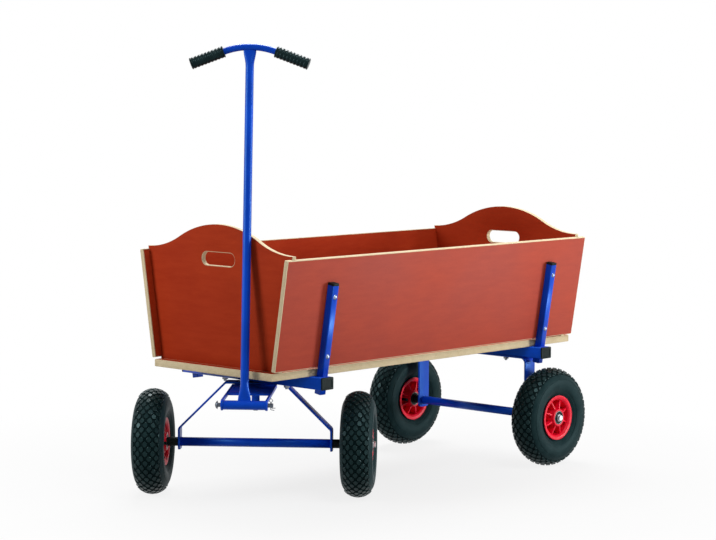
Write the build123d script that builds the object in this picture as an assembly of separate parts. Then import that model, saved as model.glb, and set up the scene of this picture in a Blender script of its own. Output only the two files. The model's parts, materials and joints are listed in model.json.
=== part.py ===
from build123d import *
import math
import os

# A beach wagon: a plywood tray on two steel bolsters, a steered front axle with a folding drawbar,
# and four pneumatic wheels. Millimetres and degrees. +Z is up, the front faces -Y and the wagon's
# left side is +X. The origin is on the ground, in the middle of the wagon's box.

# Wheels: 3.00-4 pneumatic tyres on two-part plastic rims
tyre_d = 260.0
tyre_w = 80.0
tyre_wall = 5.0
tread_t = 9.0
tread_w = 66.0
crown_drop = 14.4
bead_w = 7.0
bead_d = 102.0
rim_w = 58.0
rim_wall = 4.5
flange_d = 118.0
flange_t = 3.8
web_t = 12.0
rib_count = 8
rib_phase = 24.0
rib_t = 5.0
rib_dish = 4.0
hub_d = 45.0
hub_w = 70.0
tube_wall = 2.0
tube_gap = 0.3
tube_fill = 0.82
valve_bay = 5
valve_d = 8.0
valve_x = 14.0
valve_r = 37.0
valve_l = 24.0

# Sealed ball bearings, 35 x 15 x 11
bearing_d = 35.0
bearing_bore = 15.0
bearing_w = 11.0
inner_ring_d = 20.8
seal_gap = 0.4

# Running gear
track = 506.0
wheelbase = 838.0
steer_angle = 38.8
strap_w = 40.0
strap_t = 5.0
strap_corner_r = 8.0
leg_tail = 18.0
hoop_rise = 152.0
hoop_knee = 35.0
hoop_shoulder = 72.0
hoop_bend_r = 10.0
bracket_bend_r = 15.0
axle_tube_d = 22.0
axle_tube_bore = 17.0
sleeve_d = 22.0
sleeve_l = 28.5
sleeve_ease = 1.5
spacer_d = 19.0
axle_bolt_d = 8.0
axle_bolt_grip = 20.0
axle_flange_d = 17.0
axle_flange_t = 2.0
hex_m8 = 13.0
axle_head_h = 5.0

# Clearances
running_gap = 0.05
bolt_gap = 0.2

# Bolsters: rectangular tubes across the bed
bolster_l = 480.0
bolster_overhang = 36.0
bolster_w = 40.0
bolster_h = 30.0
bolster_wall = 2.0
bolster_corner_r = 3.0
plug_head_t = 4.0
plug_insert = 9.0
plug_wall = 2.0
plug_recess = 1.2

# Bed and boards: film-faced plywood
bed_l = 1133.0
bed_t = 18.0
board_t = 12.0
edge_ease = 1.5
side_lean = 9.4
side_h = 268.0
side_gap = 3.0
side_foot = 8.5
groove_depth = 4.0
groove_gap = 0.3
end_setback = 22.0
shoulder_h = 276.5
hump_rise = 63.5
crown_r = 285.0
slot_l = 112.0
slot_h = 32.0
slot_z = 256.5
slot_ease = 3.0

# Stakes: square tubes through the bolsters, bolted to the side boards
stake_w = 20.0
stake_wall = 2.0
stake_corner_r = 2.0
stake_rise = 203.5
stake_tail = 11.0
front_stake_shift = 6.0
rear_stake_shift = 2.0
cap_head = 6.0
cap_insert = 12.0
cap_round = 2.5
stake_bolt_d = 6.0
stake_head_d = 12.0
stake_head_h = 3.5
stake_bolt_heights = (31.0, 176.5)
sleeve_nut_d = 8.0
sleeve_nut_head_d = 16.0
sleeve_nut_head_h = 2.5

# Bed bolts through bed and bolster
bed_bolt_d = 8.0
bed_bolt_x = 107.0
bed_head_d = 20.0
bed_head_h = 4.0
bed_bolt_tail = 4.0
nut_h = 7.0
nut_flange_d = 18.0
nut_flange_t = 1.5

# Steering pivot
kingpin_d = 12.0
kingpin_sleeve_d = 20.0
kingpin_sleeve_l = 48.0
kingpin_washer_d = 28.0
kingpin_washer_t = 2.0
kingpin_nut_af = 18.0
kingpin_nut_h = 10.0
kingpin_tail = 2.0
kingpin_play = 0.2
turntable_d = 64.0
turntable_t = 1.5

# Yoke that carries the drawbar
yoke_gap = 100.0
yoke_plate_t = 5.0
yoke_arm_t = 5.0
yoke_neck = 8.0
yoke_plate_reach = 146.0
yoke_plate_dip = 5.3
lug_r = 13.0
pivot_below_strap = 21.0
hitch_pin_d = 10.0
hitch_head_d = 20.0
hitch_head_h = 6.0
hitch_head_standoff = 8.0
hitch_tail = 13.0
cotter_d = 1.6
cotter_inset = 5.0
cotter_slit = 0.2

# Drawbar
drawbar_tilt = 8.0
drawbar_l = 845.6
pole_clearance = 0.52
pole_d = 20.0
pole_wall = 1.5
pole_flat_w = 31.0
pole_flat_t = 8.0
pole_flare = 40.0
pivot_tube_d = 22.0
pivot_tube_play = 0.3
bar_d = 16.0
bar_wall = 1.5
bar_flat = 2.0
bar_bend_r = 172.0
bar_droop = 20.7
grip_d = 28.0
grip_l = 84.0
grip_end = 2.5
grip_ring_count = 9
grip_ring_depth = 1.2

# Heights and places that follow
tyre_r = tyre_d / 2
axle_z = tyre_r
strap_top = axle_z + hoop_rise
bolster_z = strap_top + turntable_t
bed_z = bolster_z + bolster_h
bed_top = bed_z + bed_t
bed_overhang = (bed_l - wheelbase) / 2
half_track = track / 2
hub_half = hub_w / 2
leg_x = half_track - hub_half - sleeve_l - strap_t / 2
steer_sin = math.sin(math.radians(steer_angle))
steer_cos = math.cos(math.radians(steer_angle))
tread_r = (tread_w**2 / 4 + crown_drop**2) / (2 * crown_drop)
front_reach = half_track * steer_sin + (tyre_r - tread_r) * steer_cos + tread_r
kingpin_y = (front_reach - wheelbase - bed_overhang) / 2
rear_y = kingpin_y + wheelbase
bed_y = kingpin_y + wheelbase / 2
lean_sin = math.sin(math.radians(side_lean))
lean_cos = math.cos(math.radians(side_lean))
lean_tan = lean_sin / lean_cos
bed_w = bolster_l - 2 * bolster_overhang
foot_x = bed_w / 2 + side_foot
foot_z = bed_top + side_gap
pivot_z = strap_top - strap_t - pivot_below_strap

# The drawbar's pivot stands so far forward that the pole, leaning back, clears the front board's top
board_ahead = bed_l / 2 - end_setback - wheelbase / 2
pole_x = (board_ahead + pole_d / 2) * steer_sin / steer_cos
pass_z = bed_top + shoulder_h + hump_rise - pole_x**2 / (2 * crown_r)
lean_back = (pass_z - pivot_z) * math.tan(math.radians(drawbar_tilt))
pivot_reach = (board_ahead + pole_d / 2 + pole_clearance) / steer_cos + lean_back

# Frames: the steered axle, the rear axle, the leaning left side and the tilted drawbar
steered = Pos(0, kingpin_y, 0) * Rot(0, 0, steer_angle)
rear = Pos(0, rear_y, 0)
left_side = Pos(foot_x, 0, foot_z) * Rot(0, side_lean, 0)
drawbar = steered * Pos(0, -pivot_reach, pivot_z) * Rot(-drawbar_tilt, 0, 0)

parts = {}


def keep(name, *pieces):
    """Store a node: one solid, or a group of like solids."""
    solids = [solid for piece in pieces for solid in piece.solids()]
    parts[name] = solids[0] if len(solids) == 1 else Compound(solids)


def rod(diameter, x_from, x_to):
    """A round bar along X."""
    return Pos((x_from + x_to) / 2, 0, 0) * Rot(0, 90, 0) * Cylinder(diameter / 2, x_to - x_from)


def pipe(outer, bore, x_from, x_to):
    """A round tube along X."""
    return rod(outer, x_from, x_to) - rod(bore, x_from, x_to)


def upright(diameter, z_from, z_to):
    """A round bar along Z."""
    return Pos(0, 0, (z_from + z_to) / 2) * Cylinder(diameter / 2, z_to - z_from)


def hexagon(across_flats, z_from, z_to):
    """A hexagon bar along Z."""
    outline = RegularPolygon(across_flats / 2, 6, major_radius=False)
    return extrude(Pos(0, 0, z_from) * outline, z_to - z_from)


def dome(diameter, height):
    """A low round head on the XY plane, its crown upwards."""
    radius = diameter / 2
    sphere_r = (radius**2 + height**2) / (2 * height)
    ball = Pos(0, 0, height - sphere_r) * Sphere(sphere_r)
    return ball & upright(diameter, 0, height)


def square_tube(width, depth, wall, corner_r, length):
    """A rectangular tube along Z from the XY plane."""
    outside = extrude(RectangleRounded(width, depth, corner_r), length)
    hollow = RectangleRounded(width - 2 * wall, depth - 2 * wall, max(corner_r - wall, wall / 4))
    return outside - extrude(hollow, length)


def bent_strap(points, bend_r):
    """Flat steel bent in the XZ plane, its width along Y."""
    path = FilletPolyline(*[Vector(x, 0, z) for x, z in points], radius=bend_r)
    section = Plane(origin=path @ 0, x_dir=(0, 1, 0), z_dir=path % 0) * Rectangle(strap_w, strap_t)
    strap = sweep(section, path=path)
    return fillet(strap.edges().filter_by(Axis.X).group_by(Axis.Z)[0], strap_corner_r)


def mirrored(piece):
    """The right-hand twin of a left-hand piece."""
    return mirror(piece, about=Plane.YZ)


# Bed: one board on the two bolsters, with a hole for each bed bolt
bolt_spots = [(side * bed_bolt_x, y) for y in (kingpin_y, rear_y) for side in (-1, 1)]
bed = chamfer(Box(bed_w, bed_l, bed_t).edges(), edge_ease)
bed = Pos(0, bed_y, bed_z + bed_t / 2) * bed
for x, y in bolt_spots:
    bed -= Pos(x, y, 0) * upright(bed_bolt_d + 2 * bolt_gap, bed_z, bed_top)
keep("bed_board", bed)


# Side boards: they lean out, stand clear of the bed and are grooved for the end boards
end_faces = (bed_l / 2 - end_setback - board_t, bed_l / 2 - end_setback)
stake_ys = {"front": kingpin_y + front_stake_shift, "rear": rear_y + rear_stake_shift}


def left_board():
    board = Box(board_t, bed_l, side_h, align=(Align.MAX, Align.CENTER, Align.MIN))
    board = Pos(0, bed_y, 0) * chamfer(board.edges(), edge_ease)
    groove_w = board_t + 2 * groove_gap
    groove = Box(groove_depth, groove_w, 3 * side_h, align=(Align.MIN, Align.CENTER, Align.CENTER))
    for end in (-1, 1):
        board -= Pos(-board_t, bed_y + end * sum(end_faces) / 2, 0) * groove
    for y in stake_ys.values():
        for height in stake_bolt_heights:
            board -= Pos(0, y, height) * rod(sleeve_nut_d + 2 * bolt_gap, -board_t, 0)
    return left_side * board


keep("left_side_board", left_board())
keep("right_side_board", mirrored(left_board()))


# End boards: trapezoids with an ogee top and a hand slot, held in the side boards' grooves
def inner_face_x(z):
    return foot_x - board_t / lean_cos + (z - foot_z) * lean_tan


def end_board():
    tongue = (groove_depth - groove_gap) / lean_cos
    shoulder_z = bed_top + shoulder_h
    slot_middle = bed_top + slot_z
    foot_half = inner_face_x(bed_top) + tongue
    top_half = inner_face_x(shoulder_z) + tongue
    both_r = (top_half**2 + hump_rise**2) / (2 * hump_rise)
    turn = math.asin(top_half / both_r)
    peak_z = shoulder_z + hump_rise
    turn_x = crown_r * math.sin(turn)
    turn_z = peak_z - crown_r * (1 - math.cos(turn))
    valley_r = both_r - crown_r
    half_turn = turn / 2
    mid_x = top_half - valley_r * math.sin(half_turn)
    mid_z = shoulder_z + valley_r * (1 - math.cos(half_turn))
    feet = [(-foot_half, bed_top), (foot_half, bed_top)]
    outline = Polyline((-top_half, shoulder_z), *feet, (top_half, shoulder_z))
    outline += ThreePointArc((top_half, shoulder_z), (mid_x, mid_z), (turn_x, turn_z))
    outline += ThreePointArc((turn_x, turn_z), (0, peak_z), (-turn_x, turn_z))
    outline += ThreePointArc((-turn_x, turn_z), (-mid_x, mid_z), (-top_half, shoulder_z))
    face = make_face(outline) - Pos(0, slot_middle) * SlotOverall(slot_l, slot_h)
    board = extrude(Plane.XZ * face, board_t / 2, both=True)
    slot_edges = board.edges().filter_by_position(Axis.Z, slot_middle - slot_h, slot_middle + slot_h)
    slot_edges = slot_edges.filter_by_position(Axis.X, -slot_l / 2, slot_l / 2)
    slot_edges = slot_edges.filter_by(lambda edge: abs(edge.center().Y) > board_t / 4)
    return chamfer(slot_edges, slot_ease)


end_y = sum(end_faces) / 2
keep("front_board", Pos(0, bed_y - end_y, 0) * end_board())
keep("rear_board", Pos(0, bed_y + end_y, 0) * end_board())


# Stakes: leaning square tubes outside the side boards
stake_from = (bolster_z - stake_tail - foot_z) / lean_cos


def stake_frame(end):
    return left_side * Pos(stake_w / 2, stake_ys[end], 0)


def left_stake(end):
    length = stake_rise - stake_from
    stake = Pos(0, 0, stake_from) * square_tube(stake_w, stake_w, stake_wall, stake_corner_r, length)
    for height in stake_bolt_heights:
        stake -= Pos(0, 0, height) * rod(stake_bolt_d + 2 * bolt_gap, -stake_w / 2, stake_w / 2)
    return stake_frame(end) * stake


def stake_envelope(end):
    bar = extrude(RectangleRounded(stake_w, stake_w, stake_corner_r), stake_rise - stake_from)
    return stake_frame(end) * Pos(0, 0, stake_from) * bar


def left_cap(end):
    head = extrude(RectangleRounded(stake_w, stake_w, stake_corner_r), cap_head)
    head = fillet(head.faces().sort_by(Axis.Z)[-1].edges(), cap_round)
    plug_w = stake_w - 2 * stake_wall - 2 * bolt_gap
    stem = Box(plug_w, plug_w, cap_insert, align=(Align.CENTER, Align.CENTER, Align.MAX))
    return stake_frame(end) * Pos(0, 0, stake_rise) * (head + stem)


def left_stake_bolts(end):
    length = stake_w + board_t
    bolts = []
    for height in stake_bolt_heights:
        bolt = Rot(0, 90, 0) * dome(stake_head_d, stake_head_h) + rod(stake_bolt_d, -length, 0)
        bolts.append(stake_frame(end) * Pos(stake_w / 2, 0, height) * bolt)
    return bolts


def left_sleeve_nuts(end):
    nuts = []
    for height in stake_bolt_heights:
        head = Rot(0, -90, 0) * dome(sleeve_nut_head_d, sleeve_nut_head_h)
        nut = head + rod(sleeve_nut_d, 0, board_t)
        nut -= rod(stake_bolt_d + 2 * running_gap, 0, board_t)
        nuts.append(stake_frame(end) * Pos(-stake_w / 2 - board_t, 0, height) * nut)
    return nuts


for end in ("front", "rear"):
    keep(f"{end}_left_stake", left_stake(end))
    keep(f"{end}_right_stake", mirrored(left_stake(end)))
left_caps = [left_cap(end) for end in ("front", "rear")]
left_bolts = [bolt for end in ("front", "rear") for bolt in left_stake_bolts(end)]
left_nuts = [nut for end in ("front", "rear") for nut in left_sleeve_nuts(end)]
for name, group in (("stake_caps", left_caps), ("stake_bolts", left_bolts), ("stake_sleeve_nuts", left_nuts)):
    keep(name, *group, *[mirrored(piece) for piece in group])


# Bolsters: tubes across the bed, pierced by the stakes, the bed bolts and the kingpin
def bolster(end, y):
    tube = square_tube(bolster_h, bolster_w, bolster_wall, bolster_corner_r, bolster_l)
    tube = Pos(-bolster_l / 2, y, bolster_z + bolster_h / 2) * Rot(0, 90, 0) * tube
    tube -= stake_envelope(end)
    tube -= mirrored(stake_envelope(end))
    for side in (-1, 1):
        hole = upright(bed_bolt_d + 2 * bolt_gap, bolster_z, bed_z)
        tube -= Pos(side * bed_bolt_x, y, 0) * hole
    return tube


front_bolster = bolster("front", kingpin_y) - Pos(0, kingpin_y, 0) * upright(kingpin_d, bolster_z, bed_z)
keep("front_bolster", front_bolster)
keep("rear_bolster", bolster("rear", rear_y))


def left_plug(y):
    head = extrude(RectangleRounded(bolster_h, bolster_w, bolster_corner_r), plug_head_t)
    head = chamfer(head.faces().sort_by(Axis.Z)[-1].edges(), plug_recess)
    dish = RectangleRounded(bolster_h / 2, bolster_w / 2, bolster_corner_r)
    head -= Pos(0, 0, plug_head_t - plug_recess) * extrude(dish, plug_recess)
    inner_h = bolster_h - 2 * bolster_wall - 2 * bolt_gap
    inner_w = bolster_w - 2 * bolster_wall - 2 * bolt_gap
    insert = Pos(0, 0, -plug_insert) * square_tube(inner_h, inner_w, plug_wall, bolster_corner_r, plug_insert)
    return Pos(bolster_l / 2, y, bolster_z + bolster_h / 2) * Rot(0, 90, 0) * (head + insert)


left_plugs = [left_plug(y) for y in (kingpin_y, rear_y)]
keep("bolster_plugs", *left_plugs, *[mirrored(plug) for plug in left_plugs])


# Bed bolts and flange nuts: the rear ones also hold the axle bracket's strap
def bed_bolt_foot(y):
    return bolster_z if y == kingpin_y else bolster_z - strap_t


def bed_bolt(x, y):
    shank = upright(bed_bolt_d, bed_bolt_foot(y) - nut_h - bed_bolt_tail, bed_top)
    return Pos(x, y, 0) * (shank + Pos(0, 0, bed_top) * dome(bed_head_d, bed_head_h))


def bed_nut(x, y):
    seat = bed_bolt_foot(y)
    nut = hexagon(hex_m8, seat - nut_h, seat) + upright(nut_flange_d, seat - nut_flange_t, seat)
    return Pos(x, y, 0) * (nut - upright(bed_bolt_d + 2 * running_gap, seat - nut_h, seat))


keep("bed_bolts", *[bed_bolt(x, y) for x, y in bolt_spots])
keep("bed_flange_nuts", *[bed_nut(x, y) for x, y in bolt_spots])

# Kingpin: welded into the front bolster; the steered axle turns on it between washers
sleeve_top = strap_top - strap_t - yoke_plate_t
sleeve_foot = sleeve_top - kingpin_sleeve_l
washer_top = sleeve_foot - kingpin_play
nut_top = washer_top - kingpin_washer_t
nut_foot = nut_top - kingpin_nut_h
kingpin_hole = kingpin_d + 2 * running_gap
at_kingpin = Pos(0, kingpin_y, 0)
keep("kingpin", at_kingpin * upright(kingpin_d, nut_foot - kingpin_tail, bed_z))
washer = upright(kingpin_washer_d, nut_top, washer_top) - upright(kingpin_hole, nut_top, washer_top)
keep("kingpin_washer", at_kingpin * washer)
lock_nut = hexagon(kingpin_nut_af, nut_foot, nut_top) - upright(kingpin_hole, nut_foot, nut_top)
keep("kingpin_lock_nut", at_kingpin * lock_nut)
disc = upright(turntable_d, strap_top, bolster_z) - upright(kingpin_hole, strap_top, bolster_z)
keep("turntable_washer", at_kingpin * disc)

# Rear axle bracket and front axle hoop: flat steel bent round the axle tubes
rod_d = bearing_bore - 2 * running_gap
axle_hole = rod(rod_d + 2 * running_gap, -track, track)
leg_foot = axle_z - leg_tail
bracket_top = bolster_z - strap_t / 2
bracket = bent_strap(
    [(-leg_x, leg_foot), (-leg_x, bracket_top), (leg_x, bracket_top), (leg_x, leg_foot)], bracket_bend_r
)
bracket -= Pos(0, 0, axle_z) * axle_hole
for side in (-1, 1):
    hole = upright(bed_bolt_d + 2 * bolt_gap, bolster_z - strap_t, bolster_z)
    bracket -= Pos(side * bed_bolt_x, 0, 0) * hole
keep("rear_axle_bracket", rear * bracket)

hoop_top = strap_top - strap_t / 2
knee_z = axle_z + hoop_knee
hoop_right = [(leg_x, leg_foot), (leg_x, knee_z), (hoop_shoulder, hoop_top)]
hoop_left = [(-x, z) for x, z in hoop_right]
hoop = bent_strap(hoop_left + hoop_right[::-1], hoop_bend_r)
hoop -= Pos(0, 0, axle_z) * axle_hole
hoop -= upright(kingpin_hole, strap_top - strap_t, strap_top)
keep("axle_hoop", steered * hoop)


# Axles: a tube between the legs, a rod right through, and what clamps the bearings on it
leg_outside = leg_x + strap_t / 2
leg_inside = leg_x - strap_t / 2
hub_inside = half_track - hub_half
hub_outside = half_track + hub_half
rod_end = hub_outside - axle_flange_t / 2


def both_sides(piece):
    return [piece, mirrored(piece)]


def axle_rod():
    shaft = rod(rod_d, -rod_end, rod_end)
    for side in (-1, 1):
        tapped = rod(axle_bolt_d, rod_end - axle_bolt_grip - bolt_gap, rod_end)
        shaft -= tapped if side > 0 else mirrored(tapped)
    return shaft


def axle_bolt():
    head = Rot(0, 90, 0) * hexagon(hex_m8, axle_flange_t, axle_flange_t + axle_head_h)
    flange = rod(axle_flange_d, 0, axle_flange_t)
    shank = rod(axle_bolt_d - 2 * running_gap, -axle_bolt_grip, 0)
    return Pos(hub_outside, 0, 0) * (head + flange + shank)


def axle_sleeve():
    sleeve = pipe(sleeve_d, bearing_bore, leg_outside, hub_inside)
    rims = sleeve.edges().filter_by(GeomType.CIRCLE).sort_by(Axis.X)[-2:]
    return chamfer(rims.sort_by(SortBy.RADIUS)[-1], sleeve_ease)


def inner_rings():
    inner = pipe(inner_ring_d, bearing_bore, hub_inside, hub_inside + bearing_w)
    outer = pipe(inner_ring_d, bearing_bore, hub_outside - bearing_w, hub_outside)
    return [inner, outer]


for end, frame in (("front", steered), ("rear", rear)):
    at_axle = frame * Pos(0, 0, axle_z)
    sleeve = axle_sleeve()
    spacer = pipe(spacer_d, bearing_bore, hub_inside + bearing_w, hub_outside - bearing_w)
    rings = inner_rings()
    keep(f"{end}_axle_tube", at_axle * pipe(axle_tube_d, axle_tube_bore, -leg_inside, leg_inside))
    keep(f"{end}_axle_rod", at_axle * axle_rod())
    keep(f"{end}_axle_sleeves", *[at_axle * piece for piece in both_sides(sleeve)])
    keep(f"{end}_bearing_spacers", *[at_axle * piece for piece in both_sides(spacer)])
    keep(f"{end}_bearing_inner_rings", *[at_axle * piece for ring in rings for piece in both_sides(ring)])
    keep(f"{end}_axle_bolts", *[at_axle * piece for piece in both_sides(axle_bolt())])


# Yoke: a plate under the hoop with two arms that carry the drawbar's pin, and the kingpin's sleeve
def side_profile(points, x_from, x_to):
    """A plate in a YZ plane: points are forward reach and height."""
    outline = make_face(Polyline(*[(-reach, z) for reach, z in points], close=True))
    return extrude(Plane.YZ.offset(x_from) * outline, x_to - x_from)


yoke_top = strap_top - strap_t
plate_tip = yoke_top - yoke_plate_dip
plate_back = strap_w / 2
plate_points = [
    (-plate_back, yoke_top),
    (plate_back, yoke_top),
    (yoke_plate_reach, plate_tip),
    (yoke_plate_reach, plate_tip - yoke_plate_t),
    (plate_back, yoke_top - yoke_plate_t),
    (-plate_back, yoke_top - yoke_plate_t),
]
lug_top = pivot_z + lug_r
arm_points = [
    (plate_back, yoke_top),
    (pivot_reach, lug_top),
    (pivot_reach, lug_top - yoke_neck),
    (plate_back, yoke_top - yoke_neck),
]
yoke = side_profile(plate_points, -yoke_gap / 2, yoke_gap / 2)
for x_from in (-yoke_gap / 2 - yoke_arm_t, yoke_gap / 2):
    yoke += side_profile(arm_points, x_from, x_from + yoke_arm_t)
    yoke += Pos(0, -pivot_reach, pivot_z) * rod(2 * lug_r, x_from, x_from + yoke_arm_t)
yoke_half = yoke_gap / 2 + yoke_arm_t
yoke -= Pos(0, -pivot_reach, pivot_z) * rod(hitch_pin_d + 2 * running_gap, -yoke_half, yoke_half)
yoke -= upright(kingpin_hole, yoke_top - yoke_plate_t, yoke_top)
keep("drawbar_yoke", steered * yoke)
bush = upright(kingpin_sleeve_d, sleeve_foot, sleeve_top) - upright(kingpin_hole, sleeve_foot, sleeve_top)
keep("kingpin_sleeve", steered * bush)

# Hitch pin with a domed head, and the split pin that holds it
pin_head = -yoke_half - hitch_head_standoff
pin_end = yoke_half + hitch_tail
cotter_x = pin_end - cotter_inset
cotter_hole = 2 * cotter_d + 2 * cotter_slit
hitch_dome = Rot(0, -90, 0) * dome(hitch_head_d, hitch_head_h)
hitch_pin = rod(hitch_pin_d, pin_head, pin_end) + Pos(pin_head, 0, 0) * hitch_dome
hitch_pin -= Pos(cotter_x, 0, 0) * upright(cotter_hole, -hitch_pin_d, hitch_pin_d)
at_pivot = steered * Pos(0, -pivot_reach, pivot_z)
keep("hitch_pin", at_pivot * hitch_pin)
leg_half = cotter_d / 2 + cotter_slit / 2
pin_r = hitch_pin_d / 2
cotter_points = [
    (5 * cotter_d, -pin_r - 4 * cotter_d),
    (-leg_half, -pin_r - 3 * cotter_d),
    (-leg_half, pin_r + 1.5 * cotter_d),
    (-3 * cotter_d, pin_r + 4 * cotter_d),
    (0, pin_r + 7.5 * cotter_d),
    (3 * cotter_d, pin_r + 4 * cotter_d),
    (leg_half, pin_r + 1.5 * cotter_d),
    (leg_half, -pin_r - cotter_d),
    (6.5 * cotter_d, -pin_r - cotter_d / 2),
]
cotter_path = FilletPolyline(*[Vector(x, 0, z) for x, z in cotter_points], radius=cotter_d)
cotter_section = Plane(origin=cotter_path @ 0, z_dir=cotter_path % 0) * Circle(cotter_d / 2)
keep("split_pin", at_pivot * Pos(cotter_x, 0, 0) * sweep(cotter_section, path=cotter_path))

# Drawbar: a round tube pressed flat at both ends, between a pivot tube and an arched handlebar
tube_half = yoke_gap / 2 - pivot_tube_play
pivot_tube = pipe(pivot_tube_d, hitch_pin_d + 2 * running_gap, -tube_half, tube_half)
keep("pivot_tube", drawbar * pivot_tube)
seat_low = pivot_tube_d / 2 - pole_flat_t / 4
seat_high = drawbar_l - bar_d / 2 + pole_flat_t / 4

bend_run = bar_bend_r * math.tan(math.radians(bar_droop / 2))
bar_corner = bar_flat / 2 + bend_run
bar_arm = bend_run + grip_l - grip_end
droop_sin = math.sin(math.radians(bar_droop))
droop_cos = math.cos(math.radians(bar_droop))
bar_tip = (bar_corner + bar_arm * droop_cos, -bar_arm * droop_sin)
bar_points = [(-bar_tip[0], bar_tip[1]), (-bar_corner, 0), (bar_corner, 0), bar_tip]
bar_path = FilletPolyline(*[Vector(x, 0, z) for x, z in bar_points], radius=bar_bend_r)
bar_section = Plane(origin=bar_path @ 0, z_dir=bar_path % 0)
bar_envelope = sweep(bar_section * Circle(bar_d / 2), path=bar_path)
bar = bar_envelope - sweep(bar_section * Circle(bar_d / 2 - bar_wall), path=bar_path)
at_bar = drawbar * Pos(0, 0, drawbar_l)
keep("handlebar", at_bar * bar)


def pressed_tube(inset):
    """The pole's outer form, or its bore when inset by the wall."""
    flat = Ellipse(pole_flat_w / 2 - inset, pole_flat_t / 2 - inset)
    ring = Circle(pole_d / 2 - inset)
    low_round = seat_low + pole_flare
    high_round = seat_high - pole_flare
    foot = loft([Pos(0, 0, seat_low) * flat, Pos(0, 0, low_round) * ring])
    head = loft([Pos(0, 0, high_round) * ring, Pos(0, 0, seat_high) * flat])
    return foot + upright(pole_d - 2 * inset, low_round, high_round) + head


pole = pressed_tube(0) - pressed_tube(pole_wall)
pole -= rod(pivot_tube_d, -pole_flat_w, pole_flat_w)
pole -= Pos(0, 0, drawbar_l) * bar_envelope
keep("drawbar_pole", drawbar * pole)


# Grips: ribbed rubber sleeves with closed ends
def left_grip():
    radius = grip_d / 2
    ring = grip_l / grip_ring_count
    outline = [(0, bar_d / 2), (0, radius - grip_ring_depth)]
    for index in range(grip_ring_count):
        outline += [((index + 0.25) * ring, radius), ((index + 0.75) * ring, radius)]
        outline.append(((index + 1) * ring, radius - grip_ring_depth))
    outline += [(grip_l, 0), (grip_l - grip_end, 0), (grip_l - grip_end, bar_d / 2)]
    sleeve = revolve(make_face(Polyline(*outline, close=True)), Axis.X)
    arc_end = Pos(bar_corner + bend_run * droop_cos, 0, -bend_run * droop_sin)
    return arc_end * Rot(0, bar_droop, 0) * sleeve


keep("left_grip", at_bar * left_grip())
keep("right_grip", at_bar * mirrored(left_grip()))

# Wheels: tyre, inner tube, two rim halves and two sealed bearings, each on a steered or fixed hub
bead_r = bead_d / 2
flange_r = flange_d / 2
rim_half = rim_w / 2


def tyre():
    wall_r = (flange_r + tyre_r) / 2
    sidewall_foot = flange_r + tyre_wall / 2

    def shell_side(inset_x, inset_r, bead_x):
        foot = (rim_half - inset_x, sidewall_foot)
        belly = (tyre_w / 2 - inset_x, wall_r)
        edge = (tread_w / 2 - inset_x, tyre_r - crown_drop - inset_r)
        return [Line((bead_x, bead_r), foot), ThreePointArc(foot, belly, edge)], edge

    outer_side, outer_edge = shell_side(0, 0, rim_half)
    inner_side, inner_edge = shell_side(tyre_wall, tread_t, rim_half - bead_w)
    half = outer_side + inner_side + [Line((rim_half, bead_r), (rim_half - bead_w, bead_r))]
    crown = ThreePointArc(outer_edge, (0, tyre_r), (-outer_edge[0], outer_edge[1]))
    ceiling = ThreePointArc(inner_edge, (0, tyre_r - tread_t), (-inner_edge[0], inner_edge[1]))
    edges = half + [mirror(edge, about=Plane.YZ) for edge in half] + [crown, ceiling]
    return revolve(make_face(edges), Axis.X)


def at_valve(piece):
    """A piece of the valve or its hole: up the rim's radius, on the wagon's side and between two ribs."""
    bay_angle = rib_phase + 360 / rib_count * (valve_bay + 0.5)
    return Rot(bay_angle, 0, 0) * Pos(-valve_x, 0, 0) * piece


def inner_tube():
    top = tyre_r - tread_t - tube_gap
    tube_r = tube_fill * (top - bead_r) / 2
    ring_r = top - tube_r
    section = Pos(0, ring_r) * (Circle(tube_r) - Circle(tube_r - tube_wall))
    inflated = revolve(Pos(0, ring_r) * Circle(tube_r - tube_wall / 2), Axis.X)
    stem = upright(valve_d, valve_r, ring_r)
    elbow = Pos(0, 0, valve_r) * (Sphere(valve_d / 2) + rod(valve_d, -valve_l, 0))
    return revolve(section, Axis.X) + (at_valve(stem + elbow) - inflated)


def rim_outer_half():
    hub_r = hub_d / 2
    pocket = hub_half - bearing_w
    barrel_r = bead_r - rim_wall
    web_half = web_t / 2
    bore_r = bearing_d / 2 - rim_wall
    outline = Polyline(
        (0, bore_r),
        (pocket, bore_r),
        (pocket, bearing_d / 2),
        (hub_half, bearing_d / 2),
        (hub_half, hub_r),
        (web_half, hub_r),
        (web_half, barrel_r),
        (rim_half, barrel_r),
        (rim_half + flange_t, flange_r),
        (rim_half, flange_r),
        (rim_half, bead_r),
        (0, bead_r),
        close=True,
    )
    half = revolve(make_face(outline), Axis.X)
    rib_points = [
        (web_half, hub_r - rim_wall / 2),
        (hub_half - rib_dish, hub_r - rim_wall / 2),
        (rim_half - rib_dish, barrel_r + rim_wall / 2),
        (web_half, barrel_r + rim_wall / 2),
    ]
    rib = extrude(make_face(Polyline(*rib_points, close=True)), rib_t / 2, both=True)
    for index in range(rib_count):
        half += Rot(rib_phase + 360 / rib_count * index, 0, 0) * rib
    return half


def bearing_outer_rings():
    ring = pipe(bearing_d, inner_ring_d + 2 * seal_gap, hub_half - bearing_w, hub_half)
    return both_sides(ring)


outer_half = rim_outer_half()
valve_hole = at_valve(upright(valve_d + 2 * bolt_gap, valve_r, flange_r))
inner_half = mirrored(outer_half) - valve_hole
wheel_pieces = {
    "tyre": [tyre()],
    "inner_tube": [inner_tube()],
    "rim": [outer_half, inner_half],
    "bearings": bearing_outer_rings(),
}
for end, frame in (("front", steered), ("rear", rear)):
    for side, x, turn in (("left", half_track, 0), ("right", -half_track, 180)):
        at_hub = frame * Pos(x, 0, axle_z) * Rot(0, 0, turn)
        for piece, solids in wheel_pieces.items():
            keep(f"{end}_{side}_{piece}", *[at_hub * solid for solid in solids])

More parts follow.
